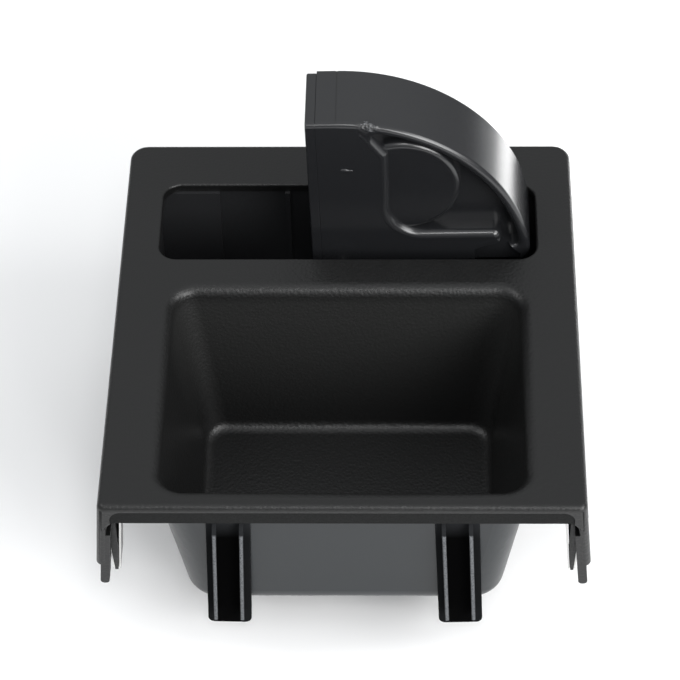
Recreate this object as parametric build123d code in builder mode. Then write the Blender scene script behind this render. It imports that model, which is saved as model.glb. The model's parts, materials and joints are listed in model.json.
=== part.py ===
from build123d import *
import math
import os

os.makedirs("parts", exist_ok=True)

# Car cup holder: a console tray with a bin for the cup and an arm that flips up behind it.
# Millimetres. X runs across the car, +Y to the back and +Z up.
# The origin is on the tray's top surface, midway across. The arm is modelled open.

# Support arm and its cover
arm_reach = 52.4
tail_reach = 49.4
arm_width = 21.8
arm_lean = 1.1
pivot_drop = 8.3
cover_thickness = 2.8
cover_corner_radius = 1.4
cover_edge_round = 0.5
cover_seam_round = 0.3
cover_peg_radius = 1.4
cover_peg_head = 0.8
cover_peg_head_radius = 2.2
cover_peg_back = 4.8
cover_peg_top = 7.4
cover_peg_spacing = 12.5
cover_peg_count = 3
tail_rib_height = 3.0
tail_rib_thickness = 1.6
tail_rib_inset = 4.0
tail_rib_start = 9.0
tail_rib_end = 38.0
arm_wall = 2.0
arm_rim = 2.9
arm_foot = 0.6
arm_toe_radius = 4.0
arm_edge_round = 1.4
crown_line_width = 0.3
crown_line_depth = 0.2
face_depth = 5.0
face_web = 2.2

# Raised face plate of the arm, its bar and its toe
plate_edge = 13.2
plate_shoulder_drop = 11.6
plate_slope = 5.4
bar_top = 11.3
bar_height = 4.2
bar_end_gap = 8.6
bar_bend_radius = 10.0
toe_length = 7.0
toe_fall = 2.2
toe_depth = 1.6
toe_edge_round = 0.5
recess_low = 3.4
recess_corner_radius = 1.6
rim_flat = 0.2
rib_thickness = 1.6
rib_setback = 1.5
rib_angles = (28, 52)

# Round boss on the arm's face
boss_across = 17.3
boss_up = 27.5
boss_gap = 1.0
boss_height = 3.2
boss_round = 2.0

# Pivot
pin_radius = 2.0
pin_head_radius = 3.5
pin_head = 1.5
pin_stub = 2.6
running_gap = 0.05
hub_length = 13.5
side_gap = 0.3
front_bearing = 2.8
back_bearing = 1.3
bearing_radius = 4.4
spacer_radius = 2.4
axial_gap = 0.1
retainer_radius = 4.6
retainer_thickness = 0.6
pin_chamfer = 0.5

# Springs
wire_radius = 0.5
spring_gap = 0.2
coil_turns = 6
coil_leg = 13.0
peg_radius = 1.4
catch_thickness = 0.5
catch_width = 6.0
catch_bite = 1.2
catch_clear = 1.1
catch_flank = 1.6
catch_ramp = 7.5
catch_lift = 1.2
catch_strip = 18.0
catch_base = 14.0
rivet_spacing = 8.0
rivet_radius = 1.2
rivet_head_radius = 2.2
rivet_head = 0.8

# Gaps between the arm and the slot
end_gap = 1.2
arm_front_gap = 5.7
arm_back_gap = 2.2
stop_gap = 0.3

# Tray
slot_side_margin = 10.4
bin_front_margin = 6.6
bridge_length = 12.0
back_margin = 16.8
front_reach = 68.0
plate_thickness = 2.6
edge_round = 1.6
back_corner_radius = 5.0
front_corner_radius = 2.0
lip_height = 6.6
lip_wall = 2.4
lip_inner_round = 3.0
lip_bead = 2.0
lip_panel_depth = 0.35
lip_panel_margin = 3.0
lip_panel_corner = 3.0
lip_edge_round = 1.0
skirt_height = 22.7
skirt_wall = 2.6
skirt_flare = 4.5
slot_corner_radius = 5.0
slot_edge_round = 0.8

# Bin for the cup, with sizes at the tray's top surface
bin_width = 95.0
bin_length = 72.2
bin_depth = 46.0
bin_wall = 2.2
bin_floor = 2.3
bin_side_draft = 9.5
bin_back_draft = 11.2
bin_front_draft = 4.0
bin_corner_radius = 6.5
bin_rim_round = 3.3
bin_floor_round = 3.2
bin_bottom_round = 6.5

# Locating legs on the front of the bin
leg_spacing = 59.0
leg_width = 11.6
leg_thickness = 2.2
leg_inset = 4.6
leg_top = 8.0
leg_bottom = 52.0
leg_corner_radius = 1.8
leg_rib_spacing = 7.0
leg_rib_thickness = 1.1
leg_rib_reach = 3.7
leg_rib_top = 12.5
leg_rib_end = 5.5
leg_rib_round = 0.4
leg_splay = 1.8
leg_edge_round = 0.3

# Front tabs, clip tongues and spring clips
tab_length = 4.5
tab_thickness = 2.4
tab_inset = 1.2
tab_setback = 0.4
tab_drop = 7.7
tab_round = 1.1
tongue_inset = 2.7
tongue_thickness = 1.8
tongue_length = 10.0
tongue_drop = 31.0
tongue_taper = 8.0
tongue_tip = 0.8
tongue_side_gap = 1.0
window_top = 7.5
clip_thickness = 0.5
clip_gap = 0.1
clip_spread = 4.4
clip_height = 21.0
clip_width = 8.0

# Trough that carries the arm
trough_margin = 1.5
trough_reveal = 0.6
trough_wall = 2.0
trough_corner_radius = 24.0
guide_thickness = 1.6
guide_width = 17.0
guide_height = 34.0
guide_rib_thickness = 1.4
guide_rib_place = 17.4
stop_height = 12.0

# Screws between trough and tray
screw_place = 40.0
screw_offset = 4.0
screw_boss_radius = 3.0
screw_boss_height = 6.4
screw_radius = 1.3
screw_length = 7.5
screw_head_radius = 2.8
screw_head = 1.8
screw_head_round = 0.6
screw_cross = 3.4
screw_cross_width = 0.8
screw_cross_depth = 1.1
pilot_gap = 0.05
ear_hole_gap = 0.3
ear_thickness = 2.4
ear_radius = 4.2

# How far from its place an edge is looked for
edge_reach = 0.02

# Worked out from the sizes above
slot_length = arm_reach + tail_reach + 2 * end_gap
slot_width = arm_front_gap + arm_width + arm_back_gap
tray_width = slot_length + 2 * slot_side_margin
tray_length = bin_front_margin + bin_length + bridge_length + slot_width + back_margin

front_y = -front_reach
bin_front_y = front_y + bin_front_margin
bin_back_y = bin_front_y + bin_length
slot_front_y = bin_back_y + bridge_length
slot_back_y = slot_front_y + slot_width
slot_mid_y = (slot_front_y + slot_back_y) / 2
arm_front_y = slot_front_y + arm_front_gap
arm_back_y = arm_front_y + arm_width

pivot_x = (tail_reach - arm_reach) / 2
pivot_z = -pivot_drop
seat = pivot_drop - cover_thickness

trough_radius = slot_length / 2 + trough_margin
trough_front_y = slot_front_y - trough_reveal
trough_back_y = slot_back_y + trough_reveal
trough_depth = trough_back_y - trough_front_y
housing_front_y = trough_front_y - trough_wall
housing_back_y = trough_back_y + trough_wall

screw_rows = housing_back_y - housing_front_y + 2 * screw_offset
ear_top_z = -plate_thickness - screw_boss_height

tongue_x = tray_width / 2 - tongue_inset
window_length = tongue_length + 2 * tongue_side_gap
tongue_mid_y = front_y + tab_length + window_length / 2
tab_bottom = skirt_height + tab_drop
leg_web_bottom = bin_depth - bin_bottom_round
rib_front_y = front_y + leg_inset - leg_rib_reach

flare = math.tan(math.radians(skirt_flare))
splay_sin = math.sin(math.radians(leg_splay))
splay_cos = math.cos(math.radians(leg_splay))
lean_sin = math.sin(math.radians(arm_lean))
lean_cos = math.cos(math.radians(arm_lean))

# Points of the arm in its own plane, across and up from the pivot axis
inner_reach = arm_reach - arm_rim
recess_edge_round = arm_rim - arm_edge_round - rim_flat
plate_shoulder = arm_reach - plate_shoulder_drop
bar_reach = arm_reach - bar_end_gap
toe_start = bar_reach - toe_length
boss_radius = inner_reach - math.hypot(boss_across, boss_up) - boss_gap
nib_radius = bar_height / 2
nib_x = bar_reach - nib_radius
nib_y = bar_top - nib_radius
arm_end = (math.sqrt(arm_reach**2 - arm_foot**2), arm_foot)
core_low = arm_foot + arm_wall
core_end = (math.sqrt(inner_reach**2 - core_low**2), core_low)
recess_top = (plate_edge - plate_slope, math.sqrt(inner_reach**2 - (plate_edge - plate_slope) ** 2))
recess_end = (math.sqrt(inner_reach**2 - recess_low**2), recess_low)

# Stops, spring and catch follow the arm
stop_left_x = pivot_x - seat * lean_cos + tail_reach * lean_sin + stop_gap
stop_right_x = pivot_x + arm_foot - stop_gap
coil_radius = seat - arm_wall - spring_gap - wire_radius
coil_front_y = arm_front_y + hub_length + side_gap + wire_radius
coil_back_y = trough_back_y - back_bearing - spring_gap - wire_radius
peg_place = (-coil_radius - wire_radius - spring_gap - peg_radius, -coil_leg + peg_radius)
cover_pegs = [
    (arm_back_y - cover_peg_back, arm_reach - cover_peg_top - place * cover_peg_spacing)
    for place in range(cover_peg_count)
]
catch_x = pivot_x + bar_top + catch_clear
catch_z = pivot_z - nib_x
rivet_x = catch_x - catch_strip


def facing_front(y):
    """Plane that faces the front at the given place: local x is X, local y is Z."""
    return Plane.XZ.offset(-y)


def arm_plane(y):
    """Plane of the open arm that faces the front, with its origin on the pivot axis."""
    return Plane(origin=(pivot_x, y, pivot_z), x_dir=(lean_cos, 0, lean_sin), z_dir=(0, -1, 0))


def cover_plane(offset):
    """Plane along the arm's straight side, left of the pivot: local x is Y, local y is up the arm."""
    origin = (pivot_x - offset * lean_cos, 0, pivot_z - offset * lean_sin)
    return Plane(origin=origin, x_dir=(0, 1, 0), z_dir=(lean_cos, 0, lean_sin))


def skirt_reach(depth):
    """Outer half width of the flared skirts at a depth below the top."""
    return tray_width / 2 + depth * flare


def leg_plane(side, y):
    """Plane of a splayed leg that faces the front, with its origin at the middle of the leg's top."""
    origin = (side * leg_spacing / 2, y, -leg_top)
    return Plane(origin=origin, x_dir=(splay_cos, 0, side * splay_sin), z_dir=(0, -1, 0))


def rib_plane(side, rib_side):
    """Middle plane of a leg's rib: local x is Y, local y is up the leg from the leg's top."""
    origin = (leg_plane(side, 0) * Pos(rib_side * leg_rib_spacing / 2, 0, 0)).position
    return Plane(origin=origin, x_dir=(0, 1, 0), z_dir=(splay_cos, 0, side * splay_sin))


def bin_front_wall(depth):
    """Middle of the bin's front wall at a depth below the top."""
    return bin_front_y + depth * math.tan(math.radians(bin_front_draft)) - bin_wall / 2


def draw_bin_section(depth, grow):
    """Section of the tapered bin at a depth, grown outwards on every side."""
    half_width = bin_width / 2 - depth * math.tan(math.radians(bin_side_draft)) + grow
    y_front = bin_front_y + depth * math.tan(math.radians(bin_front_draft)) - grow
    y_back = bin_back_y - depth * math.tan(math.radians(bin_back_draft)) + grow
    with Locations((0, (y_front + y_back) / 2)):
        RectangleRounded(2 * half_width, y_back - y_front, bin_corner_radius + grow)


def draw_trough(grow):
    """Outline of the trough below the tray's plate, grown outwards: straight sides, round bottom corners."""
    reach = trough_radius + grow
    with BuildSketch(mode=Mode.PRIVATE) as outline:
        with Locations((0, pivot_z - reach)):
            Rectangle(2 * reach, reach - pivot_z - plate_thickness, align=(Align.CENTER, Align.MIN))
        fillet(outline.vertices().group_by(Axis.Y)[0], radius=trough_corner_radius + grow)
    add(outline.sketch)


# Tray: flared cap, hollow below, with the lips cut short between the skirts
with BuildPart() as tray:
    with BuildSketch(facing_front(front_y)):
        with BuildLine():
            Polyline(
                (-skirt_reach(0), 0),
                (skirt_reach(0), 0),
                (skirt_reach(skirt_height), -skirt_height),
                (-skirt_reach(skirt_height), -skirt_height),
                close=True,
            )
        make_face()
    extrude(amount=-tray_length)
    corners = tray.edges().filter_by(lambda edge: abs(edge.tangent_at(0.5).Z) > 0.9).sort_by(Axis.Y)
    fillet(corners[:2], radius=front_corner_radius)
    corners = tray.edges().filter_by(lambda edge: abs(edge.tangent_at(0.5).Z) > 0.9).sort_by(Axis.Y)
    fillet(corners[-2:], radius=back_corner_radius)
    fillet(tray.faces().sort_by(Axis.Z)[-1].edges(), radius=edge_round)
    with BuildSketch(facing_front(front_y + lip_wall)):
        with BuildLine():
            Polyline(
                (-skirt_reach(plate_thickness) + skirt_wall, -plate_thickness),
                (skirt_reach(plate_thickness) - skirt_wall, -plate_thickness),
                (skirt_reach(skirt_height) - skirt_wall, -skirt_height),
                (-skirt_reach(skirt_height) + skirt_wall, -skirt_height),
                close=True,
            )
        make_face()
    extrude(amount=-(tray_length - 2 * lip_wall), mode=Mode.SUBTRACT)
    with BuildSketch(facing_front(front_y)) as lip_window:
        with BuildLine():
            Polyline(
                (-skirt_reach(lip_height) + skirt_wall, -lip_height),
                (skirt_reach(lip_height) - skirt_wall, -lip_height),
                (skirt_reach(skirt_height) - skirt_wall, -skirt_height),
                (-skirt_reach(skirt_height) + skirt_wall, -skirt_height),
                close=True,
            )
        make_face()
        fillet(lip_window.vertices().group_by(Axis.Y)[-1], radius=lip_inner_round)
    extrude(amount=-tray_length, mode=Mode.SUBTRACT)

    # Front lip: round below, its face set back under a bead that turns down along the skirts
    lip_edge = tray.edges().filter_by(Axis.X).sort_by_distance((0, front_y, -lip_height))[0]
    fillet(lip_edge, radius=lip_edge_round)
    with BuildSketch(facing_front(front_y)) as lip_panel:
        with Locations((0, -lip_bead)):
            Rectangle(tray_width - 2 * lip_panel_margin, 2 * lip_height, align=(Align.CENTER, Align.MAX))
        fillet(lip_panel.vertices().group_by(Axis.Y)[-1], radius=lip_panel_corner)
    extrude(amount=-lip_panel_depth, mode=Mode.SUBTRACT)

    # Bin: tapered shell with soft edges
    with BuildSketch(Plane.XY.offset(-plate_thickness / 2)):
        draw_bin_section(plate_thickness / 2, bin_wall)
    with BuildSketch(Plane.XY.offset(-bin_depth - bin_floor)):
        draw_bin_section(bin_depth + bin_floor, bin_wall)
    loft(ruled=True)
    fillet(tray.faces().sort_by(Axis.Z)[0].edges(), radius=bin_bottom_round)
    with BuildSketch(Plane.XY):
        draw_bin_section(0, 0)
    with BuildSketch(Plane.XY.offset(-bin_depth)):
        draw_bin_section(bin_depth, 0)
    loft(ruled=True, mode=Mode.SUBTRACT)
    floor_edges = tray.edges().filter_by_position(Axis.Z, -bin_depth - edge_reach, -bin_depth + edge_reach)
    fillet(floor_edges, radius=bin_floor_round)
    rim_edges = tray.faces().sort_by(Axis.Z)[-1].inner_wires()[0].edges()
    fillet(rim_edges, radius=bin_rim_round)

    # Slot for the arm
    with BuildSketch(Plane.XY):
        with Locations((0, slot_mid_y)):
            RectangleRounded(slot_length, slot_width, slot_corner_radius)
    extrude(amount=-plate_thickness, mode=Mode.SUBTRACT)
    slot_edges = (
        tray.edges()
        .filter_by_position(Axis.Z, -edge_reach, edge_reach)
        .filter_by_position(Axis.Y, slot_front_y - edge_reach, slot_back_y + edge_reach)
        .filter_by_position(Axis.X, -slot_length / 2 - edge_reach, slot_length / 2 + edge_reach)
    )
    fillet(slot_edges, radius=slot_edge_round)

    # Screw bosses that carry the trough
    with BuildSketch(Plane.XY.offset(-plate_thickness)):
        with Locations((0, slot_mid_y)):
            with GridLocations(2 * screw_place, screw_rows, 2, 2):
                Circle(screw_boss_radius)
                Circle(screw_radius + pilot_gap, mode=Mode.SUBTRACT)
    extrude(amount=-screw_boss_height)

    # Windows in the skirts, where the clips stand
    for side in (-1, 1):
        with BuildSketch(Plane.YZ.offset(side * (tongue_x - tongue_thickness))):
            with Locations((tongue_mid_y, -(window_top + skirt_height) / 2)):
                Rectangle(window_length, skirt_height - window_top)
        extrude(amount=side * skirt_wall * 3, mode=Mode.SUBTRACT)

    # Tongues with wedge-shaped tips, which carry the clips
    for side in (-1, 1):
        with BuildSketch(facing_front(tongue_mid_y - tongue_length / 2)):
            with BuildLine():
                Polyline(
                    (side * (tongue_x - tongue_thickness / 2), -plate_thickness / 2),
                    (side * (tongue_x + tongue_thickness / 2), -plate_thickness / 2),
                    (side * (tongue_x + tongue_thickness / 2), -tongue_drop + tongue_taper),
                    (side * (tongue_x + tongue_tip / 2), -tongue_drop),
                    (side * (tongue_x - tongue_tip / 2), -tongue_drop),
                    (side * (tongue_x - tongue_thickness / 2), -tongue_drop + tongue_taper),
                    close=True,
                )
            make_face()
        extrude(amount=-tongue_length)

    # Tabs below the front ends of the skirts
    for side in (-1, 1):
        with BuildSketch(facing_front(front_y + tab_setback)):
            with BuildLine():
                Polyline(
                    (side * (skirt_reach(skirt_height / 2) - tab_inset), -skirt_height / 2),
                    (side * (skirt_reach(tab_bottom) - tab_inset), -tab_bottom),
                    (side * (skirt_reach(tab_bottom) - tab_inset - tab_thickness), -tab_bottom),
                    (side * (skirt_reach(skirt_height / 2) - tab_inset - tab_thickness), -skirt_height / 2),
                    close=True,
                )
            make_face()
        extrude(amount=-(tab_length - tab_setback))
    tab_edges = tray.edges().filter_by_position(Axis.Z, -tab_bottom - edge_reach, -tab_bottom + edge_reach)
    fillet(tab_edges.filter_by(Axis.Y), radius=tab_round)

    # Locating legs: a splayed plate with two ribs that run back into the bin's front wall
    for side in (-1, 1):
        with BuildSketch(leg_plane(side, front_y + leg_inset)) as leg_plate:
            Rectangle(leg_width, leg_bottom - leg_top, align=(Align.CENTER, Align.MAX))
            fillet(leg_plate.vertices().group_by(Axis.Y)[0], radius=leg_corner_radius)
        leg = extrude(amount=-leg_thickness)
        fillet(leg.faces().sort_by(Axis.Y)[0].edges(), radius=leg_edge_round)
        for rib_side in (-1, 1):
            with BuildSketch(rib_plane(side, rib_side)):
                with BuildLine():
                    Polyline(
                        (bin_front_wall(leg_top), 0),
                        (front_y + leg_inset, 0),
                        (rib_front_y, leg_top - leg_rib_top),
                        (rib_front_y, leg_top - leg_bottom + leg_rib_end),
                        (front_y + leg_inset + leg_thickness / 2, leg_top - leg_bottom + leg_rib_end),
                        (front_y + leg_inset + leg_thickness / 2, leg_top - leg_web_bottom),
                        (bin_front_wall(leg_web_bottom), leg_top - leg_web_bottom),
                        close=True,
                    )
                make_face()
            rib = extrude(amount=leg_rib_thickness / 2, both=True)
            rib_edges = rib.edges().group_by(Axis.Y)[0].filter_by(lambda edge: edge.length > leg_width)
            fillet(rib_edges, radius=leg_rib_round)
tray.part.label = "tray"
export_step(tray.part, "parts/tray.step")

# Trough under the slot, open at the top, with bearings for the pivot pin
with BuildPart() as arm_housing:
    with BuildSketch(facing_front(housing_front_y)):
        draw_trough(trough_wall)
    extrude(amount=-(housing_back_y - housing_front_y))
    with BuildSketch(facing_front(trough_front_y)):
        draw_trough(0)
    extrude(amount=-trough_depth, mode=Mode.SUBTRACT)

    # Guide pad and guide rib on the back wall, seen through the empty half of the slot
    with BuildSketch(facing_front(trough_back_y - guide_thickness)):
        with Locations((-trough_radius + guide_width / 2, -plate_thickness - guide_height / 2)):
            Rectangle(guide_width, guide_height)
        with Locations((-guide_rib_place, -plate_thickness - guide_height / 2)):
            Rectangle(guide_rib_thickness, guide_height)
    extrude(amount=-guide_thickness - trough_wall / 2)

    # Bearings in the front and back walls
    for y, length in ((trough_front_y, front_bearing), (trough_back_y - back_bearing, back_bearing)):
        with BuildSketch(facing_front(y)):
            with Locations((pivot_x, pivot_z)):
                Circle(bearing_radius)
        extrude(amount=-length)
    with BuildSketch(facing_front(housing_front_y)):
        with Locations((pivot_x, pivot_z)):
            Circle(pin_radius + running_gap)
    extrude(amount=-(housing_back_y - housing_front_y), mode=Mode.SUBTRACT)

    # Stop rib on the floor: the tail meets its left side, the shut arm its right side
    with BuildSketch(facing_front(arm_front_y)):
        with Locations(((stop_left_x + stop_right_x) / 2, pivot_z - trough_radius + stop_height / 2)):
            Rectangle(stop_right_x - stop_left_x, stop_height)
    extrude(amount=-arm_width)

    # Peg for the fixed leg of the torsion spring
    with BuildSketch(arm_plane(arm_back_y + side_gap)):
        with Locations(peg_place):
            Circle(peg_radius)
    extrude(amount=-(trough_back_y - arm_back_y - side_gap))

    # Ears for the screws
    with BuildSketch(Plane.XY.offset(ear_top_z)):
        with Locations((0, slot_mid_y)):
            with GridLocations(2 * screw_place, screw_rows, 2, 2):
                Circle(ear_radius)
            for side in (-1, 1):
                with Locations((side * screw_place, 0)):
                    Rectangle(2 * ear_radius, screw_rows)
            Rectangle(2 * trough_radius, housing_back_y - housing_front_y - trough_wall, mode=Mode.SUBTRACT)
            with GridLocations(2 * screw_place, screw_rows, 2, 2):
                Circle(screw_radius + ear_hole_gap, mode=Mode.SUBTRACT)
    extrude(amount=-ear_thickness)

    # Holes for the rivets of the catch
    with BuildSketch(facing_front(housing_front_y)):
        with Locations((rivet_x, catch_z)):
            with GridLocations(rivet_spacing, 0, 2, 1):
                Circle(rivet_radius + running_gap)
    extrude(amount=-trough_wall, mode=Mode.SUBTRACT)
arm_housing.part.label = "arm_housing"
export_step(arm_housing.part, "parts/arm_housing.step")

# Support arm: quarter disc with a recessed face, cored out from the back
with BuildPart() as support_arm:
    with BuildSketch(arm_plane(arm_front_y)) as outline:
        with BuildLine():
            Polyline((-seat, 0), (-seat, arm_reach), (0, arm_reach))
            RadiusArc((0, arm_reach), arm_end, arm_reach)
            Polyline(arm_end, (0, arm_foot), (0, -seat))
            RadiusArc((0, -seat), (-seat, 0), seat)
        make_face()
        fillet(outline.vertices().sort_by(Axis.X)[-1], radius=arm_toe_radius)
    extrude(amount=-arm_width)
    outer_edges = support_arm.faces().filter_by(Plane.XZ).sort_by(Axis.Y)[0].edges()
    rim_edge = outer_edges.filter_by(GeomType.CIRCLE).sort_by(lambda edge: edge.radius)[-1]
    crown_edge = outer_edges.sort_by(Axis.Z)[-1]
    fillet([rim_edge, crown_edge], radius=arm_edge_round)

    # Fine line across the top, where the rim begins
    with BuildSketch(arm_plane(arm_front_y)):
        with Locations((0, arm_reach)):
            Rectangle(crown_line_width, 2 * crown_line_depth)
    extrude(amount=-arm_width, mode=Mode.SUBTRACT)

    # Recess in the face between the plate, the bar and the rim
    with BuildSketch(arm_plane(arm_front_y)) as recess:
        with BuildLine():
            Polyline(recess_top, (plate_edge, plate_shoulder), (plate_edge, bar_top + bar_bend_radius))
            RadiusArc(
                (plate_edge, bar_top + bar_bend_radius),
                (plate_edge + bar_bend_radius, bar_top),
                -bar_bend_radius,
            )
            Line((plate_edge + bar_bend_radius, bar_top), (nib_x, bar_top))
            RadiusArc((nib_x, bar_top), (bar_reach, nib_y), nib_radius)
            Line((bar_reach, nib_y), recess_end)
            RadiusArc(recess_end, recess_top, -inner_reach)
        make_face()
        sharp_corners = [recess.vertices().sort_by_distance(point)[0] for point in (recess_top, recess_end)]
        fillet(sharp_corners, radius=recess_corner_radius)
    extrude(amount=-face_depth, mode=Mode.SUBTRACT)
    recess_edges = support_arm.edges(Select.LAST).group_by(Axis.Y)[0]
    fillet(recess_edges, radius=recess_edge_round)

    # Shallow step below the end of the bar
    with BuildSketch(arm_plane(arm_front_y)):
        with BuildLine():
            Line((toe_start, bar_top - bar_height - toe_fall), (nib_x, bar_top - bar_height))
            RadiusArc((nib_x, bar_top - bar_height), (bar_reach, nib_y), -nib_radius)
            Polyline(
                (bar_reach, nib_y),
                recess_end,
                (recess_end[0], arm_foot),
                (toe_start, arm_foot),
                (toe_start, bar_top - bar_height - toe_fall),
            )
        make_face()
    extrude(amount=-toe_depth, mode=Mode.SUBTRACT)
    toe_edge = support_arm.edges(Select.LAST).filter_by(GeomType.LINE).group_by(Axis.Y)[0]
    toe_edge = toe_edge.filter_by(lambda edge: toe_length / 2 < edge.length < toe_length)
    fillet(toe_edge, radius=toe_edge_round)

    # Core behind the face, leaving rim, seat wall, foot and hub
    with BuildSketch(arm_plane(arm_back_y)):
        with BuildLine():
            Polyline((-seat + arm_wall, core_low), (-seat + arm_wall, inner_reach), (0, inner_reach))
            RadiusArc((0, inner_reach), core_end, inner_reach)
            Line(core_end, (-seat + arm_wall, core_low))
        make_face()
        Circle(seat, mode=Mode.SUBTRACT)
    extrude(amount=arm_width - face_depth - face_web, mode=Mode.SUBTRACT)

    # Lighter core behind the plate
    with BuildSketch(arm_plane(arm_front_y + face_depth + face_web)):
        with BuildLine():
            Polyline(
                (-seat + arm_wall, 2 * seat),
                (-seat + arm_wall, plate_shoulder),
                (plate_edge - arm_wall, plate_shoulder),
                (plate_edge - arm_wall, 2 * seat),
                close=True,
            )
        make_face()
    extrude(amount=face_depth, mode=Mode.SUBTRACT)

    # Round boss on the recessed face
    with BuildSketch(arm_plane(arm_front_y + face_depth + face_web / 2)):
        with Locations((boss_across, boss_up)):
            Circle(boss_radius)
    extrude(amount=boss_height + face_web / 2)
    boss_edges = support_arm.edges().filter_by(GeomType.CIRCLE).filter_by(
        lambda edge: abs(edge.radius - boss_radius) < edge_reach
    )
    fillet(boss_edges.sort_by(Axis.Y)[0], radius=boss_round)

    # Stiffening ribs from the hub to the rim
    for angle in rib_angles:
        with BuildSketch(arm_plane(arm_back_y - rib_setback)):
            with Locations(Rotation(0, 0, angle)):
                with Locations(((seat + inner_reach) / 2, 0)):
                    Rectangle(inner_reach - seat + arm_rim, rib_thickness)
        extrude(amount=arm_width - rib_setback - face_depth - face_web / 2)

    # Pocket round the pin for the torsion spring, and the bore
    with BuildSketch(arm_plane(arm_back_y)):
        with Locations((arm_wall / 2, 0)):
            Rectangle(2 * seat - arm_wall, 2 * seat)
    extrude(amount=arm_width - hub_length, mode=Mode.SUBTRACT)
    with BuildSketch(arm_plane(arm_front_y)):
        Circle(pin_radius + running_gap)
    extrude(amount=-arm_width, mode=Mode.SUBTRACT)

    # Holes for the cover's pegs
    with BuildSketch(cover_plane(seat)):
        with Locations(*cover_pegs):
            Circle(cover_peg_radius + running_gap)
    extrude(amount=arm_wall, mode=Mode.SUBTRACT)
support_arm.part.label = "support_arm"
export_step(support_arm.part, "parts/support_arm.step")

# Cover: flush with the tray when shut, staked to the arm by pegs, with ribs under its tail
with BuildPart() as arm_cover:
    with BuildSketch(cover_plane(pivot_drop)):
        with Locations(((arm_front_y + arm_back_y) / 2, (arm_reach - tail_reach) / 2)):
            RectangleRounded(arm_width, arm_reach + tail_reach, cover_corner_radius)
    extrude(amount=cover_thickness)
    fillet(arm_cover.faces().sort_by(Axis.X)[0].edges(), radius=cover_edge_round)
    fillet(arm_cover.faces().sort_by(Axis.X)[-1].edges(), radius=cover_seam_round)
    with BuildSketch(cover_plane(seat)):
        with Locations(((arm_front_y + arm_back_y) / 2, -(tail_rib_start + tail_rib_end) / 2)):
            with GridLocations(arm_width - 2 * tail_rib_inset, 0, 2, 1):
                Rectangle(tail_rib_thickness, tail_rib_end - tail_rib_start)
    extrude(amount=tail_rib_height)
    with BuildSketch(cover_plane(seat)):
        with Locations(*cover_pegs):
            Circle(cover_peg_radius)
    extrude(amount=arm_wall + cover_peg_head)
    with BuildSketch(cover_plane(seat - arm_wall)):
        with Locations(*cover_pegs):
            Circle(cover_peg_head_radius)
    extrude(amount=cover_peg_head)
arm_cover.part.label = "arm_cover"
export_step(arm_cover.part, "parts/arm_cover.step")

# Pivot pin with a head in front of the trough
with BuildPart() as pivot_pin:
    with BuildSketch(facing_front(housing_front_y - pin_head)):
        with Locations((pivot_x, pivot_z)):
            Circle(pin_head_radius)
    extrude(amount=-pin_head)
    with BuildSketch(facing_front(housing_front_y)):
        with Locations((pivot_x, pivot_z)):
            Circle(pin_radius)
    extrude(amount=-(housing_back_y - housing_front_y + pin_stub))
    chamfer(pivot_pin.edges().sort_by(Axis.Y)[-1], length=pin_chamfer)
    fillet(pivot_pin.edges().sort_by(Axis.Y)[0], radius=pin_chamfer)
pivot_pin.part.label = "pivot_pin"
export_step(pivot_pin.part, "parts/pivot_pin.step")

# Spacer between the front bearing and the arm
with BuildPart() as pivot_spacer:
    with BuildSketch(facing_front(trough_front_y + front_bearing)):
        with Locations((pivot_x, pivot_z)):
            Circle(spacer_radius)
            Circle(pin_radius + running_gap, mode=Mode.SUBTRACT)
    extrude(amount=-(arm_front_y - axial_gap - trough_front_y - front_bearing))
pivot_spacer.part.label = "pivot_spacer"
export_step(pivot_spacer.part, "parts/pivot_spacer.step")

# Push-on retainer behind the trough
with BuildPart() as pin_retainer:
    with BuildSketch(facing_front(housing_back_y)):
        with Locations((pivot_x, pivot_z)):
            Circle(retainer_radius)
            Circle(pin_radius + running_gap, mode=Mode.SUBTRACT)
    extrude(amount=-retainer_thickness)
pin_retainer.part.label = "pin_retainer"
export_step(pin_retainer.part, "parts/pin_retainer.step")

# Torsion spring round the pin: one leg against the peg, the other against the arm's straight wall
coil_pitch = (coil_back_y - coil_front_y) / coil_turns
coil_climb = math.atan(coil_pitch / (2 * math.pi * coil_radius))
leg_rise = coil_leg * math.cos(coil_climb)
leg_drift = coil_leg * math.sin(coil_climb)
spring_plane = Plane(
    origin=(pivot_x, coil_back_y, pivot_z), x_dir=(-lean_cos, 0, -lean_sin), z_dir=(0, -1, 0)
)
with BuildLine() as spring_line:
    Line((coil_radius, leg_rise, -leg_drift), (coil_radius, 0, 0))
    Helix(coil_pitch, coil_back_y - coil_front_y, coil_radius, lefthand=True)
    Line(
        (coil_radius, 0, coil_back_y - coil_front_y),
        (coil_radius, -leg_rise, coil_back_y - coil_front_y + leg_drift),
    )
spring_path = spring_plane.location * spring_line.wires()[0]
with BuildPart() as torsion_spring:
    with BuildSketch(Plane(origin=spring_path @ 0, z_dir=spring_path % 0)):
        Circle(wire_radius)
    sweep(path=spring_path)
torsion_spring.part.label = "torsion_spring"
export_step(torsion_spring.part, "parts/torsion_spring.step")

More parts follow.
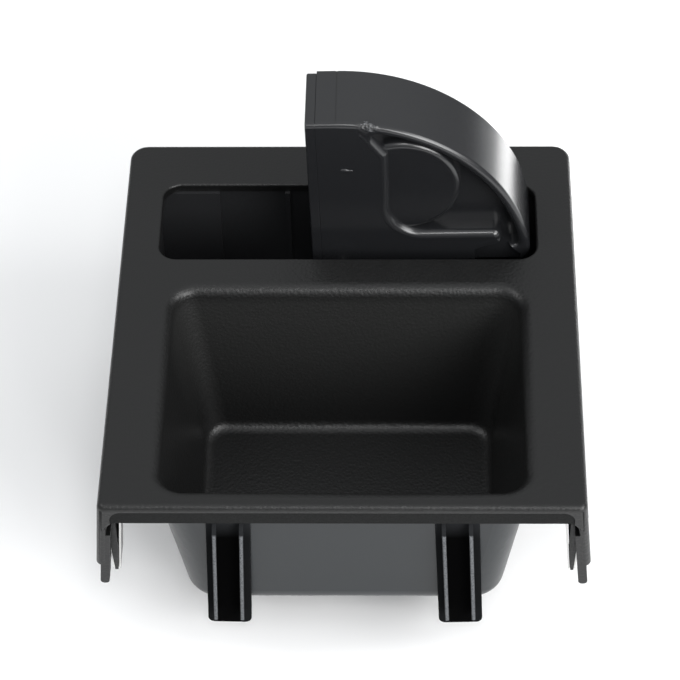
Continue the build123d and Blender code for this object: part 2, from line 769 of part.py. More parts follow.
# Spring catch on the trough's front wall: its bump stands beside the bar when the arm is shut
with BuildPart() as catch_spring:
    with BuildSketch(Plane.XY.offset(catch_z - catch_width / 2)):
        strip_y = trough_front_y + catch_thickness / 2
        with BuildLine():
            Polyline(
                (catch_x - catch_strip - catch_base / 2, strip_y),
                (catch_x - catch_flank - catch_ramp / 2, strip_y),
                (catch_x - catch_flank, strip_y + catch_lift),
                (catch_x, arm_front_y + catch_bite),
                (catch_x + catch_ramp, strip_y + catch_lift),
            )
        trace(line_width=catch_thickness)
    extrude(amount=catch_width)
    with BuildSketch(facing_front(trough_front_y)):
        with Locations((rivet_x, catch_z)):
            with GridLocations(rivet_spacing, 0, 2, 1):
                Circle(rivet_radius + running_gap)
    extrude(amount=-catch_thickness, mode=Mode.SUBTRACT)
catch_spring.part.label = "catch_spring"
export_step(catch_spring.part, "parts/catch_spring.step")

# Rivets of the catch
with BuildPart() as catch_rivets:
    with BuildSketch(facing_front(housing_front_y)):
        with Locations((rivet_x, catch_z)):
            with GridLocations(rivet_spacing, 0, 2, 1):
                Circle(rivet_radius)
    extrude(amount=-trough_wall - catch_thickness)
    for y in (housing_front_y - rivet_head, trough_front_y + catch_thickness):
        with BuildSketch(facing_front(y)):
            with Locations((rivet_x, catch_z)):
                with GridLocations(rivet_spacing, 0, 2, 1):
                    Circle(rivet_head_radius)
        extrude(amount=-rivet_head)
catch_rivets.part.label = "catch_rivets"
export_step(catch_rivets.part, "parts/catch_rivets.step")

# Screws that hold the trough's ears to the tray
with BuildPart() as housing_screws:
    with BuildSketch(Plane.XY.offset(ear_top_z - ear_thickness)):
        with Locations((0, slot_mid_y)):
            with GridLocations(2 * screw_place, screw_rows, 2, 2):
                Circle(screw_head_radius)
    extrude(amount=-screw_head)
    fillet(housing_screws.edges().group_by(Axis.Z)[0], radius=screw_head_round)
    with BuildSketch(Plane.XY.offset(ear_top_z - ear_thickness)):
        with Locations((0, slot_mid_y)):
            with GridLocations(2 * screw_place, screw_rows, 2, 2):
                Circle(screw_radius)
    extrude(amount=screw_length)
    with BuildSketch(Plane.XY.offset(ear_top_z - ear_thickness - screw_head)):
        with Locations((0, slot_mid_y)):
            with GridLocations(2 * screw_place, screw_rows, 2, 2):
                Rectangle(screw_cross, screw_cross_width)
                Rectangle(screw_cross_width, screw_cross)
    extrude(amount=screw_cross_depth, mode=Mode.SUBTRACT)
housing_screws.part.label = "housing_screws"
export_step(housing_screws.part, "parts/housing_screws.step")

# Arrowhead spring clips, sprung over the tongues
clip_foot_z = -tongue_drop - clip_gap - clip_thickness / 2
clip_foot = tongue_tip / 2 + clip_gap + clip_thickness / 2
for name, side in (("spring_clip_left", -1), ("spring_clip_right", 1)):
    with BuildPart() as spring_clip:
        with BuildSketch(facing_front(tongue_mid_y - clip_width / 2)):
            with BuildLine():
                Polyline(
                    (side * tongue_x - clip_spread / 2, clip_foot_z + clip_height),
                    (side * tongue_x - clip_foot, clip_foot_z),
                    (side * tongue_x + clip_foot, clip_foot_z),
                    (side * tongue_x + clip_spread / 2, clip_foot_z + clip_height),
                )
            trace(line_width=clip_thickness)
        extrude(amount=-clip_width)
    spring_clip.part.label = name
    export_step(spring_clip.part, f"parts/{name}.step")
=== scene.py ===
# %% [markdown]
# # A car cup holder with a flip-up arm
# The real object is a black tray that snaps into a car's console. A deep bin takes a cup,
# and a quarter disc on a hinge stands up out of a slot behind it. The solids come from the
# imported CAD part, so this lesson is about camera, light and finishes, and about the small
# pieces that are easier to make as meshes.

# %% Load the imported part
import json
import math

import bmesh
import bpy
from mathutils import Matrix, Vector


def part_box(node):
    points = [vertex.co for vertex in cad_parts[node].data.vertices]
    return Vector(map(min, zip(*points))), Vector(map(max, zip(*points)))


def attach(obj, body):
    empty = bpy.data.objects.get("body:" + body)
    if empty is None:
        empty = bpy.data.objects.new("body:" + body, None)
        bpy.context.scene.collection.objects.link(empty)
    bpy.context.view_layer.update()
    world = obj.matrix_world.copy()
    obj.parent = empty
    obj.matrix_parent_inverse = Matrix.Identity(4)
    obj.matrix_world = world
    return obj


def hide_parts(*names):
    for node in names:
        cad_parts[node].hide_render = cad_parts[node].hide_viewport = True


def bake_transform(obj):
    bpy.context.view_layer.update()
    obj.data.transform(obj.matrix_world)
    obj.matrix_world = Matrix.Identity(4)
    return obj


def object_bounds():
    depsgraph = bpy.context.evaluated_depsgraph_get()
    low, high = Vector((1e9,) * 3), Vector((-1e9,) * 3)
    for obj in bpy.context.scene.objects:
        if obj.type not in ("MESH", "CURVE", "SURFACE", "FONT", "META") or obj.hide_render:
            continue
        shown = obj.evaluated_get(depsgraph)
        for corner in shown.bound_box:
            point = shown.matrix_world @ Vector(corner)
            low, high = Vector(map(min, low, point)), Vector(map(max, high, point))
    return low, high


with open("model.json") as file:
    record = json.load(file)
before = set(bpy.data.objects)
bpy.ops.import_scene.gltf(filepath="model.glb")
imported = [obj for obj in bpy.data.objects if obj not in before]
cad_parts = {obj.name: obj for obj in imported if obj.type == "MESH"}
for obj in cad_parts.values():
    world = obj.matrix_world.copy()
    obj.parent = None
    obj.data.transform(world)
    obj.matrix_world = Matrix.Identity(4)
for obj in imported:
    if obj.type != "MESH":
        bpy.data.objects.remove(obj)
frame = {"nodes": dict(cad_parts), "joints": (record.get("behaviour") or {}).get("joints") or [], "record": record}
cad_low, cad_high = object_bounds()
nodes = frame["nodes"]
mm = 0.001
print("CAD box, mm:", [round(v / mm, 1) for v in (*cad_low, *cad_high)])

# %% [markdown]
# ## Camera
# The photograph looks down at the front edge through a long lens, so the sides of the tray
# hardly converge. The edges that run across the tray are level in the picture although the
# camera stands a little to the right. A camera that is turned by `to_track_quat` would roll
# them, so its three axes are set one by one: the up axis stays in the tray's middle plane.

# %% Camera
camera_place = Vector((0.0193, -0.5621, 0.5734))
forward = Vector((-0.026, 0.6943, -0.7192)).normalized()
up = Vector((0.0, -forward.z, forward.y)).normalized()
right = forward.cross(up)
focal_length = 157.5
sensor_width = 36.0
nearest = 10 * mm

camera = bpy.data.objects.new("camera", bpy.data.cameras.new("camera"))
bpy.context.scene.collection.objects.link(camera)
camera_turn = Matrix((right, up, -forward)).transposed().to_4x4()
camera.matrix_world = Matrix.Translation(camera_place) @ camera_turn
camera.data.lens = focal_length
camera.data.sensor_width = sensor_width
camera.data.clip_start = nearest
bpy.context.scene.camera = camera
bpy.context.scene.view_settings.view_transform = "Standard"
print("camera is", round(camera_place.length / mm), "mm from the tray's top")

# %% [markdown]
# ## Helpers for nodes
# Every finish is built from nodes, and so is the light of the room. The first helper adds a
# node and fills its sockets, so that a finish reads like a short recipe. The second maps one
# range of numbers to another, which is how a place on the object becomes a mask.

# %% Helpers for nodes
def add_node(tree, kind, inputs=None, **settings):
    """Adds a node and fills its sockets, by name or number, with values or other nodes' outputs."""
    node = tree.nodes.new(kind)
    for name, value in settings.items():
        setattr(node, name, value)
    for name, value in (inputs or {}).items():
        if isinstance(value, bpy.types.NodeSocket):
            tree.links.new(value, node.inputs[name])
        else:
            node.inputs[name].default_value = value
    return node


def spread(tree, value, start, end, low=0.0, high=1.0):
    """Maps a value from one range to another, and stops at its ends."""
    ranges = {"Value": value, "From Min": start, "From Max": end, "To Min": low, "To Max": high}
    return add_node(tree, "ShaderNodeMapRange", ranges).outputs["Result"]


print("node helpers:", add_node.__name__, spread.__name__)

# %% [markdown]
# ## Light of the room
# Black plastic shows its form by what it mirrors. The room has a bright ceiling and dimmer
# walls, which keeps the upright faces dark and the top light. A picture of a room would do
# this too, but a gradient on height has no edges that the plastic could mirror.

# %% Light of the room
room_tint = (0.96, 0.98, 1.0, 1.0)
wall_height, ceiling_height = 0.1, 0.9
wall_strength, ceiling_strength = 0.3, 0.86

world = bpy.data.worlds.new("studio")
world.use_nodes = True
bpy.context.scene.world = world
room = world.node_tree
direction = add_node(room, "ShaderNodeTexCoord").outputs["Generated"]
rise = add_node(room, "ShaderNodeSeparateXYZ", {"Vector": direction}).outputs["Z"]
strength = spread(room, rise, wall_height, ceiling_height, wall_strength, ceiling_strength)
background = room.nodes["Background"]
background.inputs["Color"].default_value = room_tint
room.links.new(strength, background.inputs["Strength"])
print("room strength from", wall_strength, "to", ceiling_strength)

# %% [markdown]
# ## Soft panels
# A soft panel on the right draws highlights. The strongest one, in front on the right, puts a
# slanting shadow on the back wall of the bin. A small one above the camera lights the edges
# that face it, and a weak one fills the left. A card that stands low on the right draws the
# broad highlight at the end of the arm's curved top. Places and sizes are in metres, and the
# power is in watts. The camera doesn't see the panels themselves.

# %% Soft panels
def soft_panel(name, place, width, height, power):
    """Adds an area light that faces the tray's middle."""
    light = bpy.data.lights.new(name, "AREA")
    light.shape = "RECTANGLE"
    light.size, light.size_y = width, height
    light.energy = power
    panel = bpy.data.objects.new(name, light)
    bpy.context.scene.collection.objects.link(panel)
    panel.location = place
    panel.rotation_mode = "QUATERNION"
    panel.rotation_quaternion = (-Vector(place)).to_track_quat("-Z", "Y")
    panel.visible_camera = False


soft_panel("right_panel", place=(0.72, -0.24, 0.60), width=0.45, height=0.5, power=4.5)
soft_panel("left_panel", place=(-0.62, -0.05, 0.76), width=0.3, height=0.5, power=2.0)
soft_panel("front_panel", place=(0.56, -0.72, 0.46), width=0.55, height=0.45, power=8.5)
soft_panel("upper_panel", place=(0.05, -0.62, 0.76), width=0.2, height=0.2, power=1.4)
soft_panel("right_card", place=(0.13, 0.14, -0.03), width=0.12, height=0.03, power=0.05)

# %% [markdown]
# ## Floor
# The part stands on a plain white sheet, just below its lowest point. Every mesh in this
# lesson becomes an object in the same way, so a helper does that.

# %% Floor
def add_piece(name, mesh, finish=None):
    """Turns a bmesh into an object with a finish, and returns it."""
    data = bpy.data.meshes.new(name)
    mesh.to_mesh(data)
    mesh.free()
    if finish is not None:
        data.materials.append(finish)
    piece = bpy.data.objects.new(name, data)
    bpy.context.scene.collection.objects.link(piece)
    return piece


floor_half = 3.0
floor_gap = 0.5 * mm
floor_height = cad_low.z - floor_gap
sheet = bmesh.new()
bmesh.ops.create_grid(sheet, x_segments=1, y_segments=1, size=floor_half)
bmesh.ops.translate(sheet, verts=sheet.verts, vec=(0, 0, floor_height))
floor = add_piece("floor", sheet)
print("floor at", round(floor_height / mm, 1), "mm")

# %% [markdown]
# ## Patterns in real sizes
# The patterns read Object coordinates, in metres, so a grain has its real size and stays on
# its piece when the arm swings. Small functions start a finish and give a noise of a chosen
# size, a mix of two colours, a bump of a chosen depth, a step of arithmetic and a product of
# masks.

# %% Patterns in real sizes
# Most of Blender's noise lies between these two values.
noise_low, noise_high = 0.3, 0.7
# A Mix node has sockets for every kind of value, and these are the ones for colours.
colour_start, colour_end, colour_result = 6, 7, 2


def new_finish(name, roughness, specular=0.5, metallic=0.0):
    """Adds a material and returns it with its node tree, its shader and the point on the piece."""
    material = bpy.data.materials.new(name)
    material.use_nodes = True
    shader = material.node_tree.nodes["Principled BSDF"]
    shader.inputs["Roughness"].default_value = roughness
    shader.inputs["Specular IOR Level"].default_value = specular
    shader.inputs["Metallic"].default_value = metallic
    point = add_node(material.node_tree, "ShaderNodeTexCoord").outputs["Object"]
    return material, material.node_tree, shader, point


def noise(tree, point, size, detail=2.0):
    """Soft noise with spots of the given size, stretched so that most of it lies between 0 and 1."""
    node = add_node(tree, "ShaderNodeTexNoise", {"Vector": point, "Scale": 1 / size, "Detail": detail})
    return spread(tree, node.outputs["Fac"], noise_low, noise_high)


def mix(tree, amount, first, second):
    """Goes from the first colour to the second. Either may be another node's output."""
    start, end = (tone if isinstance(tone, bpy.types.NodeSocket) else (*tone, 1.0)
                  for tone in (first, second))
    sockets = {"Factor": amount, colour_start: start, colour_end: end}
    return add_node(tree, "ShaderNodeMix", sockets, data_type="RGBA").outputs[colour_result]


def bump(tree, height, depth, strength, normal=None):
    """Raises the surface by a height pattern, on top of another bump. The depth is in metres."""
    sockets = {"Height": height, "Distance": depth, "Strength": strength}
    if normal is not None:
        sockets["Normal"] = normal
    return add_node(tree, "ShaderNodeBump", sockets).outputs["Normal"]


def calculate(tree, operation, first, second=0.0, third=0.0):
    """One step of arithmetic on numbers or outputs."""
    node = add_node(tree, "ShaderNodeMath", {0: first, 1: second, 2: third}, operation=operation)
    return node.outputs["Value"]


def all_of(tree, first, *others):
    """Multiplies masks, so the result is 1 only where each of them is."""
    for other in others:
        first = calculate(tree, "MULTIPLY", first, other)
    return first


print("most noise lies between", noise_low, "and", noise_high)

# %% [markdown]
# ## White sheet
# The floor is paper-white with a hint of unevenness, so that it doesn't look computed.

# %% White sheet
sheet_patch = 0.4
sheet_dark, sheet_light = (0.91, 0.91, 0.91), (0.94, 0.94, 0.94)
floor_finish, tree, shader, point = new_finish("white_sheet", roughness=0.7)
sheet_tone = mix(tree, noise(tree, point, sheet_patch), sheet_dark, sheet_light)
tree.links.new(sheet_tone, shader.inputs["Base Color"])
floor.data.materials.append(floor_finish)
print("floor finish:", floor_finish.name)

# %% [markdown]
# ## Grained plastic of the tray
# The mould of the tray is etched, so its black plastic has a fine pebble grain that breaks up
# every highlight. A smooth Voronoi pattern of 0.8 mm gives the pebbles, and a finer noise the
# tooth on them. Displacing the mesh would need far too many faces for a grain of a twentieth
# of a millimetre, so the grain is bump. Light is painted on the bin's back wall, which makes it
# greyer than the top, and painted shade darkens it towards the floor of the bin. Five limits on
# the place of a point make the mask for that painted light and shade.

# %% Grained plastic of the tray
pebble_size, pebble_depth = 0.8 * mm, 0.2 * mm
tooth_size, tooth_depth = 0.2 * mm, 0.05 * mm
top_dark, top_light = (0.0045, 0.0046, 0.0046), (0.0065, 0.0066, 0.0066)
# Paler colours for the painted light on the bin's back wall.
back_wall_painted_lit_dark, back_wall_painted_lit_pale = (0.0125, 0.0127, 0.0124), (0.0165, 0.0167, 0.0163)
# Each limit of the painted light and shade on the back wall starts at its first place and is whole at its second.
wall_from_front = (-14 * mm, 1 * mm)
wall_from_back = (15 * mm, 14 * mm)
wall_from_sides = (52 * mm, 50 * mm)
wall_from_top = (-1 * mm, -5 * mm)
wall_from_floor = (-40 * mm, -10 * mm)

tray_finish, tree, shader, point = new_finish("grained_plastic", roughness=0.4, specular=0.42)
pebbles = add_node(tree, "ShaderNodeTexVoronoi", {"Vector": point, "Scale": 1 / pebble_size},
                   feature="SMOOTH_F1").outputs["Distance"]
tooth = noise(tree, point, tooth_size)
normal = bump(tree, pebbles, pebble_depth, strength=0.42)
normal = bump(tree, tooth, tooth_depth, strength=0.15, normal=normal)
tree.links.new(normal, shader.inputs["Normal"])
tree.links.new(spread(tree, tooth, 0.0, 1.0, low=0.37, high=0.44), shader.inputs["Roughness"])
axes = add_node(tree, "ShaderNodeSeparateXYZ", {"Vector": point}).outputs
across = calculate(tree, "ABSOLUTE", axes["X"])
# Painted light on the bin's back wall, fading into painted shade towards the bin's floor.
painted_light_on_back_wall = all_of(tree,
                   spread(tree, axes["Y"], *wall_from_front),
                   spread(tree, axes["Y"], *wall_from_back),
                   spread(tree, across, *wall_from_sides),
                   spread(tree, axes["Z"], *wall_from_top),
                   spread(tree, axes["Z"], *wall_from_floor))
top_tone = mix(tree, tooth, top_dark, top_light)
back_wall_painted_tone = mix(tree, tooth, back_wall_painted_lit_dark, back_wall_painted_lit_pale)
tree.links.new(mix(tree, painted_light_on_back_wall, top_tone, back_wall_painted_tone), shader.inputs["Base Color"])
print("pebble grain of", pebble_size / mm, "mm")

# %% [markdown]
# ## Satin plastic of the arm
# The arm comes from a polished mould and is a little bluer and glossier than the tray. A very
# fine bump keeps it from looking like glass. Where the plastic was let into the mould, above
# the plate, it was broken off, and that left a small torn patch: a mask on the distance from
# it lets a coarse noise through, as bump and as paler specks.

# %% Satin plastic of the arm
tooth_size, tooth_depth = 0.25 * mm, 0.03 * mm
arm_dark, arm_light = (0.0105, 0.0109, 0.012), (0.0125, 0.013, 0.0143)
scar_place = Vector((6.0, 28.5, 43.4)) * mm
scar_edge, scar_core = 3.4 * mm, 1.8 * mm
scar_grain, scar_depth = 0.7 * mm, 0.3 * mm
speck_start, speck_full = 0.55, 0.9
speck_tone = (0.10, 0.104, 0.11)

arm_finish, tree, shader, point = new_finish("satin_plastic", roughness=0.3, specular=0.6)
tooth = noise(tree, point, tooth_size)
from_scar = add_node(tree, "ShaderNodeVectorMath", {0: point, 1: scar_place},
                     operation="DISTANCE").outputs["Value"]
in_scar = spread(tree, from_scar, scar_edge, scar_core)
torn = all_of(tree, in_scar, noise(tree, point, scar_grain, detail=3.0))
normal = bump(tree, tooth, tooth_depth, strength=0.1)
normal = bump(tree, torn, scar_depth, strength=0.8, normal=normal)
tree.links.new(normal, shader.inputs["Normal"])
tree.links.new(spread(tree, tooth, 0.0, 1.0, low=0.21, high=0.25), shader.inputs["Roughness"])
plain_tone = mix(tree, tooth, arm_dark, arm_light)
specks = spread(tree, torn, speck_start, speck_full)
tree.links.new(mix(tree, specks, plain_tone, speck_tone), shader.inputs["Base Color"])
print("arm finish:", arm_finish.name)

# %% [markdown]
# ## Dull plastic of the trough
# The trough under the slot is hidden except through the slot. Its walls are duller than the
# arm, and their colour is a little paler than the arm's, which paints in light that hardly gets
# into the trough. A noise on colour and bump is enough, because so little light gets there.

# %% Dull plastic of the trough
tooth_size, tooth_depth = 0.5 * mm, 0.04 * mm
# A little paler than the arm's colour: painted light inside the trough.
trough_dark, trough_light = (0.012, 0.0124, 0.0134), (0.016, 0.0164, 0.018)
trough_finish, tree, shader, point = new_finish("dull_plastic", roughness=0.5)
tooth = noise(tree, point, tooth_size)
tree.links.new(bump(tree, tooth, tooth_depth, strength=0.2), shader.inputs["Normal"])
tree.links.new(mix(tree, tooth, trough_dark, trough_light), shader.inputs["Base Color"])
print("trough finish:", trough_finish.name)

# %% [markdown]
# ## Steel of the springs and fasteners
# Strip and wire are drawn, which leaves fine streaks along them, so the noise is stretched.
# The screws and rivets are plated and have no direction.

# %% Steel of the springs and fasteners
streak_size, streak_depth = 0.4 * mm, 0.02 * mm


def steel_finish(name, dark, light, smooth, rough, stretch):
    """Metal with fine streaks. A small stretch makes them long along that axis."""
    material, tree, shader, point = new_finish(name, smooth, metallic=1.0)
    stretched = add_node(tree, "ShaderNodeMapping", {"Vector": point, "Scale": stretch}).outputs["Vector"]
    streaks = noise(tree, stretched, streak_size, detail=4.0)
    tree.links.new(mix(tree, streaks, dark, light), shader.inputs["Base Color"])
    tree.links.new(spread(tree, streaks, 0.0, 1.0, smooth, rough), shader.inputs["Roughness"])
    tree.links.new(bump(tree, streaks, streak_depth, strength=0.2), shader.inputs["Normal"])
    return material


plated_steel = steel_finish("steel", dark=(0.5, 0.5, 0.49), light=(0.62, 0.62, 0.61),
                            smooth=0.28, rough=0.42, stretch=(1.0, 1.0, 1.0))
spring_steel = steel_finish("spring_steel", dark=(0.52, 0.52, 0.51), light=(0.64, 0.64, 0.63),
                            smooth=0.32, rough=0.46, stretch=(1.0, 1.0, 0.1))
print("metals:", plated_steel.name, spring_steel.name)

# %% [markdown]
# ## Finishes on the CAD nodes
# The record gives each node a material slot, so one loop can finish them all. The trough has
# the arm's slot and its own duller finish.

# %% Finishes on the CAD nodes
finishes = {
    "grained_plastic": tray_finish,
    "satin_plastic": arm_finish,
    "steel": plated_steel,
    "spring_steel": spring_steel,
}
for entry in frame["record"]["subparts"]:
    data = nodes[entry["node"]].data
    data.materials.clear()
    data.materials.append(finishes[entry["material_slot"]])
nodes["arm_housing"].data.materials[0] = trough_finish

# %% [markdown]
# ## Painted shade and highlights of the locating legs
# The two legs below the front lip guide the part into its opening. Their colour is painted
# light and shade: paler at the top as if lit, painted shade below, and a painted shadow, almost
# black, in their channels. The front edges of their ribs get a painted highlight. A leg leans
# outwards, so the mask of its painted channel shadow follows the lean. The painted highlight is
# a mask on depth, broken up by a noise.

# %% Painted shade and highlights of the locating legs
leg_middle = 29.5 * mm
leg_top = -8.0 * mm
leg_splay = math.tan(math.radians(1.8))
shade_start, shade_full = 3.0 * mm, 9.0 * mm
channel_half, channel_fade = 3.0 * mm, 0.8 * mm
# The band in depth that gets the painted highlight on the ribs' front edges.
rib_front, highlight_band_depth = -67.1 * mm, 0.3 * mm
tooth_size, tooth_depth = 0.4 * mm, 0.03 * mm
# Painted light at a leg's top, painted shade below it, a painted shadow in its channel and a painted highlight on
# the ribs' front edges.
painted_lit_tone_of_leg = (0.02, 0.021, 0.0225)
painted_shade_tone = (0.009, 0.0094, 0.010)
painted_channel_shadow = (0.0022, 0.0022, 0.0023)
painted_highlight_tone = (0.13, 0.135, 0.142)

leg_finish, tree, shader, point = new_finish("leg_plastic_painted_shade", roughness=0.5, specular=0.0)
axes = add_node(tree, "ShaderNodeSeparateXYZ", {"Vector": point}).outputs
tooth = noise(tree, point, tooth_size)
below_top = calculate(tree, "SUBTRACT", leg_top, axes["Z"])
across = calculate(tree, "ABSOLUTE", axes["X"])
off_middle = calculate(tree, "MULTIPLY_ADD", below_top, -leg_splay, across)
off_middle = calculate(tree, "ABSOLUTE", calculate(tree, "SUBTRACT", off_middle, leg_middle))
# Painted shadow in the channel between the ribs, and painted shade that grows below the leg's lit top.
inside = spread(tree, off_middle, channel_half + channel_fade, channel_half)
shaded = spread(tree, below_top, shade_start, shade_full)
face_tone = mix(tree, shaded, painted_lit_tone_of_leg, mix(tree, inside, painted_shade_tone, painted_channel_shadow))
# A painted highlight along the ribs' front edges, broken up by a noise.
painted_rib_highlight = all_of(tree, spread(tree, axes["Y"], rib_front + highlight_band_depth, rib_front),
                spread(tree, tooth, 0.0, 0.6, low=0.45, high=1.0))
tree.links.new(mix(tree, painted_rib_highlight, face_tone, painted_highlight_tone), shader.inputs["Base Color"])
tree.links.new(bump(tree, tooth, tooth_depth, strength=0.2), shader.inputs["Normal"])
print("leg finish:", leg_finish.name)

# %% [markdown]
# ## Faces of the locating legs
# The legs are part of the tray's own mesh, and so are the outer walls and the lip that follow.
# A mesh can hold several material slots, so each of these finishes gets a slot, and the faces
# for it are chosen by where their middle lies.

# %% Faces of the locating legs
leg_half_width = 6.2 * mm
leg_front = -63.2 * mm
tray_data = nodes["tray"].data


def finish_tray_faces(finish, belongs):
    """Adds a slot to the tray for the faces that belong to it, and returns how many there are."""
    slot = len(tray_data.materials)
    tray_data.materials.append(finish)
    chosen = [face for face in tray_data.polygons if belongs(face)]
    for face in chosen:
        face.material_index = slot
    return len(chosen)


def on_leg(face):
    """Tells whether a face's middle lies on one of the two splayed legs."""
    middle = face.center
    splayed = leg_middle + (leg_top - middle.z) * leg_splay
    beside = abs(abs(middle.x) - splayed)
    return middle.y < leg_front and middle.z < leg_top and beside < leg_half_width


print("leg faces:", finish_tray_faces(leg_finish, on_leg))

# %% [markdown]
# ## Smooth outer walls
# The outside of the bin is never seen in the car, so its mould was left smooth there. It is
# bluer than the grained top and mirrors the white sheet in a soft gradient. The faces are those
# below the lip that look outwards, without the legs and the skirts at the sides.

# %% Smooth outer walls
drift_size = 9 * mm
tooth_size, tooth_depth = 0.3 * mm, 0.03 * mm
outside_dark, outside_light = (0.006, 0.0085, 0.0105), (0.008, 0.0108, 0.0128)
bin_middle = Vector((0.0, -28.5 * mm, 0.0))
outside_top = -8 * mm
outside_back = 18 * mm
skirt_inside = 50 * mm

wall_finish, tree, shader, point = new_finish("smooth_wall_plastic", roughness=0.33, specular=0.42)
drift = noise(tree, point, drift_size)
tooth = noise(tree, point, tooth_size)
tree.links.new(bump(tree, tooth, tooth_depth, strength=0.12), shader.inputs["Normal"])
tree.links.new(spread(tree, drift, 0.0, 1.0, low=0.3, high=0.37), shader.inputs["Roughness"])
tree.links.new(mix(tree, drift, outside_dark, outside_light), shader.inputs["Base Color"])


def on_outside(face):
    """Tells whether a grained face belongs to the bin's outside."""
    middle = face.center
    outward = Vector((middle.x, middle.y, 0.0)) - bin_middle
    below_lip = middle.z < outside_top and middle.y < outside_back and abs(middle.x) < skirt_inside
    return face.material_index == 0 and below_lip and face.normal.dot(outward) > 0


print("outer wall faces:", finish_tray_faces(wall_finish, on_outside))

# %% [markdown]
# ## Face of the front lip
# Below its bead the lip's face is set back and duller than the rest of the tray, and mirrors
# the white sheet less. It gets a slot of its own, chosen by depth and by which way a face looks.

# %% Face of the front lip
tooth_size, tooth_depth = 0.5 * mm, 0.05 * mm
lip_dark, lip_light = (0.009, 0.0093, 0.0093), (0.013, 0.0134, 0.0134)
lip_front, lip_back = -67.9 * mm, -66.9 * mm
lip_bottom, lip_top = -9 * mm, -1.5 * mm
looks_forward = -0.8

lip_finish, tree, shader, point = new_finish("dull_lip_plastic", roughness=0.55, specular=0.06)
tooth = noise(tree, point, tooth_size)
tree.links.new(bump(tree, tooth, tooth_depth, strength=0.3), shader.inputs["Normal"])
tree.links.new(mix(tree, tooth, lip_dark, lip_light), shader.inputs["Base Color"])


def on_lip(face):
    """Tells whether a face lies on the front of the lip and looks forward."""
    middle = face.center
    in_reach = lip_front < middle.y < lip_back and lip_bottom < middle.z < lip_top
    return in_reach and face.normal.y < looks_forward


print("lip faces:", finish_tray_faces(lip_finish, on_lip))

# %% [markdown]
# ## Torsion spring
# The spring that throws the arm open is a coil of wire round the pivot pin. One leg lies on
# a peg of the trough, the other on the arm, so the coil winds up when the arm shuts. A solid
# can't do that, so the coil is made again as a mesh: a ring is spun round the pivot while it
# climbs, and the two end rings are drawn out into legs.

# %% Torsion spring
wire_radius = 0.5 * mm
wire_sides = 12
coil_turns = 6
steps_per_turn = 36
coil_length = 8.3 * mm
coil_leg = 13.0 * mm

pivot = Vector(frame["joints"][0]["pos_m"])
spring_low, spring_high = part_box("torsion_spring")
coil_radius = spring_high.x - pivot.x - wire_radius
coil_back_y = (spring_low.y + spring_high.y + coil_length) / 2
coil_steps = coil_turns * steps_per_turn
climb = math.atan(coil_length / coil_turns / (2 * math.pi * coil_radius))
wire_direction = Vector((0, -math.sin(climb), math.cos(climb)))
coil_start = Vector((pivot.x - coil_radius, coil_back_y, pivot.z))

coil = bmesh.new()
ring_place = Matrix.Translation(coil_start) @ wire_direction.to_track_quat("Z", "Y").to_matrix().to_4x4()
bmesh.ops.create_circle(coil, segments=wire_sides, radius=wire_radius, matrix=ring_place)
first_ring = coil.edges[:]
spun = bmesh.ops.spin(coil, geom=coil.verts[:] + coil.edges[:], cent=pivot, axis=(0, 1, 0),
                      dvec=(0, -coil_length / coil_steps, 0), angle=2 * math.pi * coil_turns,
                      steps=coil_steps)
last_ring = [item for item in spun["geom_last"] if isinstance(item, bmesh.types.BMEdge)]
for ring, way in ((first_ring, -wire_direction), (last_ring, wire_direction)):
    leg = bmesh.ops.extrude_edge_only(coil, edges=ring)
    leg_end = [item for item in leg["geom"] if isinstance(item, bmesh.types.BMVert)]
    bmesh.ops.translate(coil, verts=leg_end, vec=way * coil_leg)
print("coil radius, mm:", round(coil_radius / mm, 2))

# %% [markdown]
# ## Ends of the torsion spring
# The wire is cut square, so each end is filled with one flat face, while the faces with four
# corners along the wire are smooth.

# %% Ends of the torsion spring
bmesh.ops.holes_fill(coil, edges=[edge for edge in coil.edges if edge.is_boundary], sides=wire_sides)
bmesh.ops.recalc_face_normals(coil, faces=coil.faces)
for face in coil.faces:
    face.smooth = len(face.verts) == 4
torsion_coil = add_piece("torsion_coil", coil, spring_steel)
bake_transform(torsion_coil)
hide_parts("torsion_spring")
print("coil faces:", len(torsion_coil.data.polygons))

# %% [markdown]
# ## Section of the bead along the arm's plate
# The flat plate on the arm's face ends in a fat round bead, and the solid has only a smaller
# rounding there. A curve with a bevel could draw the bead, but its open ends would show, so it
# is swept from an arc. The arc is what is left of a circle: its front, and only a little of it
# on the plate's side. It is drawn at the plate's shoulder, in the arm's own upright plane.

# %% Section of the bead along the arm's plate
bead_radius = 2.1 * mm
bead_rise = 0.06 * mm
bead_on_plate = 0.6 * mm
bead_sides = 48
hair = 0.01 * mm
shoulder = Vector((11.6, 0, 40.31)) * mm

bead = bmesh.new()
arc_place = shoulder + Vector((0, bead_radius - bead_rise, 0))
bmesh.ops.create_circle(bead, segments=bead_sides, radius=bead_radius, matrix=Matrix.Translation(arc_place))
unused = [v for v in bead.verts if v.co.y > arc_place.y + hair or v.co.x < arc_place.x - bead_on_plate]
bmesh.ops.delete(bead, geom=unused, context="VERTS")
arc = bead.edges[:]
print("edges of the bead's section:", len(arc))

# %% [markdown]
# ## Sweep of the bead
# From the shoulder the bead goes down an upright, round a bend, along a bar and round the bar's
# end. The other way it goes up a slant to a round nose. The arc is drawn out along the straight
# runs and spun round the bends. Only the outer half is spun at the nose, because the inner half
# would fold over itself there.

# %% Sweep of the bead
slant = math.radians(33.76)
slant_length = 9.23 * mm
nose_turn = math.radians(130)
bend_centre = Vector((23.2, 0, 21.3)) * mm
bar_length = 18.5 * mm
bar_end_centre = Vector((41.7, 0, 9.2)) * mm
under_turn = math.radians(155.8)
under_length = 5.8 * mm
shoulder_steps, bend_steps, bar_end_steps, nose_steps = 6, 16, 20, 16
same_place = 0.002 * mm


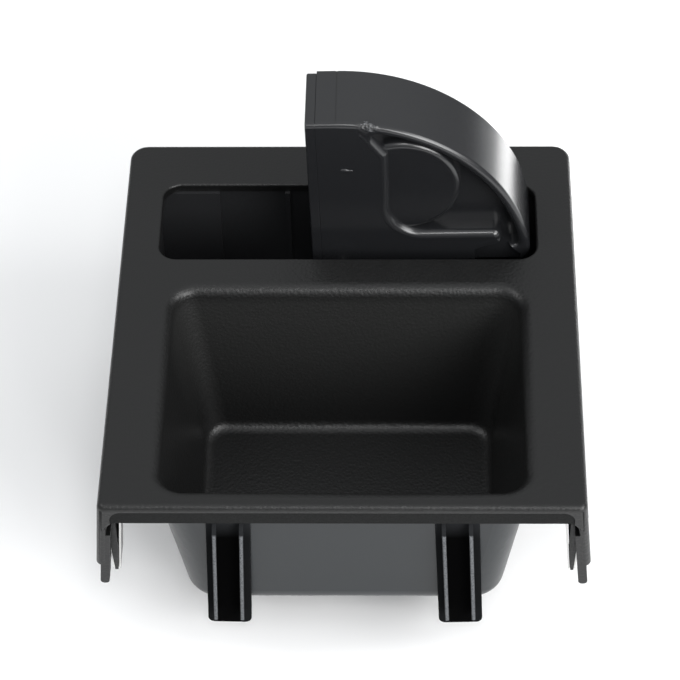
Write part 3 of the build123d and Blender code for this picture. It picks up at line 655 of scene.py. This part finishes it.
def run(mesh, line, way):
    """Draws a line of edges out by a straight way and returns its far end."""
    drawn = bmesh.ops.extrude_edge_only(mesh, edges=line)["geom"]
    ends = [item for item in drawn if isinstance(item, bmesh.types.BMVert)]
    bmesh.ops.translate(mesh, verts=ends, vec=way)
    edges = [item for item in drawn if isinstance(item, bmesh.types.BMEdge)]
    return [edge for edge in edges if all(v in ends for v in edge.verts)]


def turn(mesh, line, centre, angle, steps):
    """Spins a line of edges clockwise round a centre, seen from the front, and returns its far end."""
    corners = list(dict.fromkeys(v for edge in line for v in edge.verts))
    spun = bmesh.ops.spin(mesh, geom=corners + line, cent=centre, axis=(0, 1, 0), angle=angle, steps=steps)
    return [item for item in spun["geom_last"] if isinstance(item, bmesh.types.BMEdge)]


line = run(bead, arc, Vector((0, 0, bend_centre.z - shoulder.z)))
line = turn(bead, line, bend_centre, -math.pi / 2, bend_steps)
line = run(bead, line, Vector((bar_length, 0, 0)))
line = turn(bead, line, bar_end_centre, under_turn, bar_end_steps)
run(bead, line, Vector((math.cos(under_turn), 0, -math.sin(under_turn))) * under_length)

line = turn(bead, arc, shoulder, -slant, shoulder_steps)
slant_way = Vector((-math.sin(slant), 0, math.cos(slant))) * slant_length
line = run(bead, line, slant_way)
nose = shoulder + slant_way
outward = Vector((math.cos(slant), 0, math.sin(slant)))
outer_half = [edge for edge in line if all((v.co - nose).dot(outward) > -hair for v in edge.verts)]
turn(bead, outer_half, nose, -nose_turn, nose_steps)
bmesh.ops.remove_doubles(bead, verts=bead.verts, dist=same_place)
print("swept bead faces:", len(bead.faces))

# %% [markdown]
# ## Root of the bead
# The swept bead is a thin skin. Its open edges are drawn back into the arm and the hole at the
# back is filled, so that it is a closed piece with a root. Then it is turned by the arm's lean
# and rides on the arm.

# %% Root of the bead
bead_root = 5.3 * mm
arm_lean = math.radians(1.1)
sharp_angle = math.radians(30)

open_edges = [edge for edge in bead.edges if edge.is_boundary]
for item in bmesh.ops.extrude_edge_only(bead, edges=open_edges)["geom"]:
    if isinstance(item, bmesh.types.BMVert):
        item.co.y = bead_root
bmesh.ops.holes_fill(bead, edges=[edge for edge in bead.edges if edge.is_boundary])
bmesh.ops.recalc_face_normals(bead, faces=bead.faces)
for face in bead.faces:
    face.smooth = True
for edge in bead.edges:
    edge.smooth = len(edge.link_faces) == 2 and edge.calc_face_angle() < sharp_angle
face_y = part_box("support_arm")[0].y
arm_place = Matrix.Translation((pivot.x, face_y, pivot.z)) @ Matrix.Rotation(-arm_lean, 4, "Y")
bmesh.ops.transform(bead, matrix=arm_place, verts=bead.verts)
open_left = sum(edge.is_boundary for edge in bead.edges)
plate_bead = add_piece("plate_bead", bead, arm_finish)
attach(plate_bead, "arm")
print("bead faces:", len(plate_bead.data.polygons), "open edges:", open_left)

# %% [markdown]
# ## Mould mark
# A pin of the mould left a small raised mark with a tail on the plate. A ball is flattened, and
# its right half is drawn out and narrowed.

# %% Mould mark
mark_place = Vector((-0.3 * mm, face_y, 27.4 * mm))
mark_half_size = Vector((1.3, 0.4, 0.75)) * mm
tail_start = 0.4 * mm
tail_stretch = (1.7, 0.8, 0.55)

mark = bmesh.new()
bmesh.ops.create_uvsphere(mark, u_segments=24, v_segments=12, radius=1.0)
bmesh.ops.scale(mark, verts=mark.verts, vec=mark_half_size)
tail = [v for v in mark.verts if v.co.x > tail_start]
bmesh.ops.scale(mark, verts=tail, vec=tail_stretch)
bmesh.ops.translate(mark, verts=mark.verts, vec=mark_place)
for face in mark.faces:
    face.smooth = True
mould_mark = add_piece("mould_mark", mark, arm_finish)
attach(mould_mark, "arm")
print("mould mark faces:", len(mould_mark.data.polygons))
